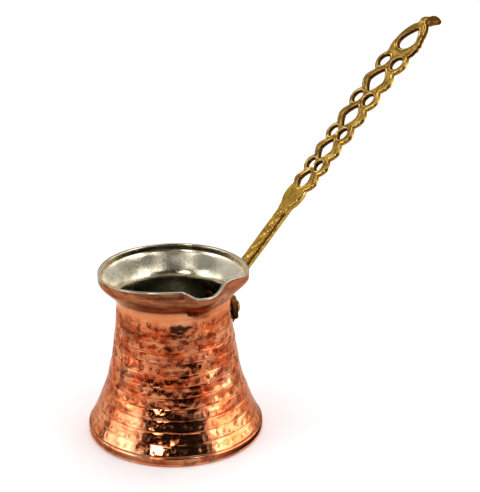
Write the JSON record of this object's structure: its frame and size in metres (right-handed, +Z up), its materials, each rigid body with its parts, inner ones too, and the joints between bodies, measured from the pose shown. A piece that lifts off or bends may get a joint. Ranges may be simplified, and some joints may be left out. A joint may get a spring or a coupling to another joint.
{
  "type": "turkish coffee pot",
  "caption": "Hammered copper coffee pot with a flared foot, a pinched pouring spout, a tinned inside and a riveted brass openwork handle.",
  "frame": {"origin": "centre of the base, on the plane that the pot stands on", "axes": "+Z up along the pot's own axis, +X in the upright plane of the handle, on the handle's side; the spout points nearly along -Y"},
  "size_m": [0.2046, 0.087, 0.1897],
  "materials": {
    "copper": "hammered, polished copper",
    "tin": "wiped hot-tin lining",
    "brass": "cast brass, darkened in the recesses",
    "rivet_brass": "hammered rivet head"
  },
  "bodies": {
    "root": {"copper_body": "copper", "tin_lining": "tin", "handle": "brass", "rivet_left": "rivet_brass", "rivet_right": "rivet_brass", "rivet_lower": "rivet_brass"}
  },
  "joints": []
}
